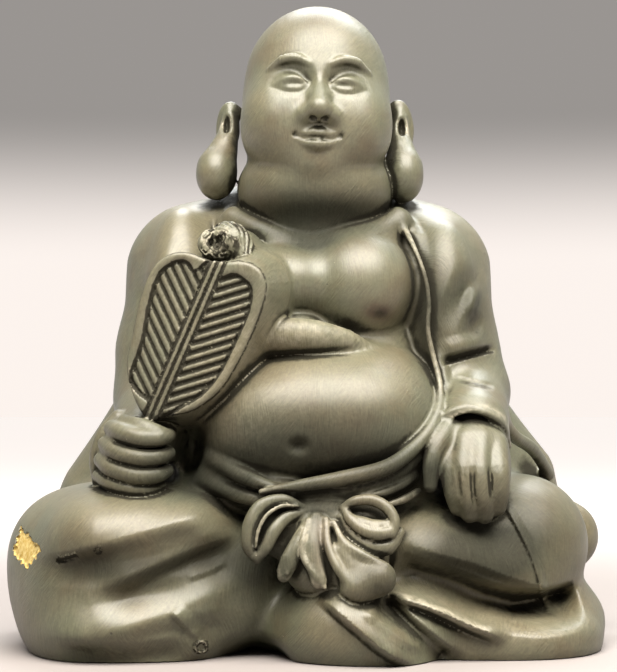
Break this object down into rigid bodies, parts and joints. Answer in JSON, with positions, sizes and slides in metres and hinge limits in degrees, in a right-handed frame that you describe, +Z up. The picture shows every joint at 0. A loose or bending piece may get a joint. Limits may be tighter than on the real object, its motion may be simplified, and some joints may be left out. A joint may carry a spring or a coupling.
{
  "type": "seated figurine",
  "caption": "Cast seated figure with a bald head, long ear lobes, bare belly, open robe and knotted sash, holding a leaf-shaped fan; stands on its flat underside.",
  "frame": {"origin": "on the flat underside, below the middle of the body", "axes": "+Z up through the head, -Y the way the figure faces, +X the side of the open hand (viewer's right)"},
  "size_m": [0.1542, 0.1074, 0.1641],
  "materials": {
    "paint": "satin olive-grey paint over a cast body, rubbed on raised edges and dark in the hollows, chipped to yellow on one knee"
  },
  "bodies": {
    "root": {"figure": "paint"}
  },
  "joints": []
}
